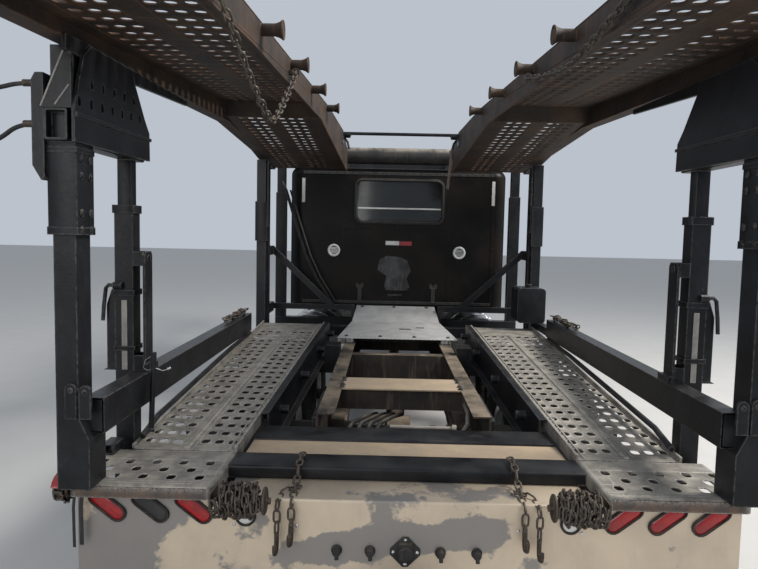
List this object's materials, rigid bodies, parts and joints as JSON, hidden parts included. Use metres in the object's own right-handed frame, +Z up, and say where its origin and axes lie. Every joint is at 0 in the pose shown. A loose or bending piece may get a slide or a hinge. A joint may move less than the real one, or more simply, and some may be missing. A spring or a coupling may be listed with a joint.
{
  "type": "car transporter truck",
  "caption": "Sleeper-cab truck with sloping lower tracks, a lifting upper deck on posts, a headrack over the cab and a low rear hitch for a transporter trailer.",
  "frame": {"origin": "on the ground, at the middle of the truck's length and width", "axes": "+Y forward, +X to the truck's right, +Z up"},
  "size_m": [2.9647, 9.5, 2.7659],
  "materials": {
    "aluminium": "polished aluminium",
    "cab_paint": "satin black paint with dust",
    "chain_steel": "dark rusty chain steel",
    "chrome": "bright plate",
    "deck_steel": "worn tan-grey steel tread with dark paint left in the corners",
    "frame_paint": "dusty dark frame paint with rust",
    "glass": "dark tinted glass",
    "lens_clear": "clear lens",
    "lens_red": "deep red lens",
    "plastic_black": "black plastic",
    "rubber": "black rubber",
    "stainless": "polished stainless with dull stains",
    "structure_steel": "weathered satin black paint over steel, worn grey on edges",
    "tread_plate": "bright aluminium tread plate",
    "tyre": "black rubber, dusty",
    "upholstery": "dark grey cloth",
    "upper_steel": "dark rusty brown steel",
    "worn_tan": "tan plate with bolts and stains"
  },
  "bodies": {
    "chassis": {"frame_rails": "frame_paint", "drive_axles": "frame_paint", "drive_shafts": "frame_paint", "suspension": "frame_paint", "front_axle": "frame_paint", "engine_block": "frame_paint", "deck_corners": "deck_steel", "cross_tubes": "structure_steel", "rear_panel": "stainless", "rear_lamps": "lens_red", "rear_connectors": "plastic_black", "stinger_hitch": "structure_steel", "lower_tracks": "deck_steel", "side_frames": "structure_steel", "deck_posts": "structure_steel", "cab_braces": "structure_steel", "catwalk": "tread_plate", "oil_tank": "structure_steel", "mud_flaps": "rubber", "lip_spools": "structure_steel", "rack_posts": "structure_steel", "sleeper_shell": "cab_paint", "cab_shell": "cab_paint", "cab_glass": "glass", "seats_and_bunk": "upholstery", "dashboard": "plastic_black", "steering_wheel": "plastic_black", "front_bumper": "chrome", "fuel_tanks": "aluminium", "step_boxes": "tread_plate", "track_channels": "structure_steel", "cover_plates": "worn_tan", "lip_chains": "chain_steel"},
    "upper_deck": {"upper_tracks": "upper_steel", "lift_brackets": "structure_steel", "upper_cross_bar": "structure_steel", "lift_hose": "rubber", "deck_chains": "chain_steel"},
    "headrack": {"headrack": "structure_steel"},
    "hood": {"hood": "cab_paint", "grille": "chrome", "headlamps": "lens_clear"},
    "door_left": {"door_left": "cab_paint", "door_glass_left": "glass"},
    "door_right": {"door_right": "cab_paint", "door_glass_right": "glass"},
    "knuckle_left": {"knuckle_left": "frame_paint"},
    "knuckle_right": {"knuckle_right": "frame_paint"},
    "steer_wheel_left": {"steer_tyre_left": "tyre", "steer_rim_left": "aluminium"},
    "steer_wheel_right": {"steer_tyre_right": "tyre", "steer_rim_right": "aluminium"},
    "drive_wheel_rear_left": {"drive_tyres_rear_left": "tyre", "drive_rims_rear_left": "aluminium"},
    "drive_wheel_rear_right": {"drive_tyres_rear_right": "tyre", "drive_rims_rear_right": "aluminium"},
    "drive_wheel_front_left": {"drive_tyres_front_left": "tyre", "drive_rims_front_left": "aluminium"},
    "drive_wheel_front_right": {"drive_tyres_front_right": "tyre", "drive_rims_front_right": "aluminium"}
  },
  "joints": [
    {"name": "upper_deck_lift", "type": "slide", "parent": "chassis", "child": "upper_deck", "axis": [0, 0, 1], "range_m": [0, 0.4]},
    {"name": "headrack_lift", "type": "slide", "parent": "chassis", "child": "headrack", "axis": [0, 0, 1], "range_m": [0, 0.25]},
    {"name": "hood_tilt", "type": "hinge", "parent": "chassis", "child": "hood", "pos_m": [0, 4.3, 0.6], "axis": [-1, 0, 0], "range_deg": [0, 55]},
    {"name": "door_left_hinge", "type": "hinge", "parent": "chassis", "child": "door_left", "pos_m": [-1.016, 2.512, 1.5], "axis": [0, 0, -1], "range_deg": [0, 65]},
    {"name": "door_right_hinge", "type": "hinge", "parent": "chassis", "child": "door_right", "pos_m": [1.016, 2.512, 1.5], "axis": [0, 0, 1], "range_deg": [0, 65]},
    {"name": "steer_left", "type": "hinge", "parent": "chassis", "child": "knuckle_left", "pos_m": [-0.835, 3.3, 0.465], "axis": [0, 0, 1], "range_deg": [-32, 32]},
    {"name": "steer_right", "type": "hinge", "parent": "chassis", "child": "knuckle_right", "pos_m": [0.835, 3.3, 0.465], "axis": [0, 0, 1], "range_deg": [-32, 32]},
    {"name": "steer_wheel_left_spin", "type": "hinge", "parent": "knuckle_left", "child": "steer_wheel_left", "pos_m": [-0.985, 3.3, 0.465], "axis": [1, 0, 0], "continuous": true},
    {"name": "steer_wheel_right_spin", "type": "hinge", "parent": "knuckle_right", "child": "steer_wheel_right", "pos_m": [0.985, 3.3, 0.465], "axis": [1, 0, 0], "continuous": true},
    {"name": "drive_wheel_rear_left_spin", "type": "hinge", "parent": "chassis", "child": "drive_wheel_rear_left", "pos_m": [-0.93, -1.9, 0.465], "axis": [1, 0, 0], "continuous": true},
    {"name": "drive_wheel_rear_right_spin", "type": "hinge", "parent": "chassis", "child": "drive_wheel_rear_right", "pos_m": [0.93, -1.9, 0.465], "axis": [1, 0, 0], "continuous": true},
    {"name": "drive_wheel_front_left_spin", "type": "hinge", "parent": "chassis", "child": "drive_wheel_front_left", "pos_m": [-0.93, -0.6, 0.465], "axis": [1, 0, 0], "continuous": true},
    {"name": "drive_wheel_front_right_spin", "type": "hinge", "parent": "chassis", "child": "drive_wheel_front_right", "pos_m": [0.93, -0.6, 0.465], "axis": [1, 0, 0], "continuous": true}
  ],
  "couplings": [
    {"joint": "steer_right", "follows": "steer_left", "ratio": 1}
  ]
}
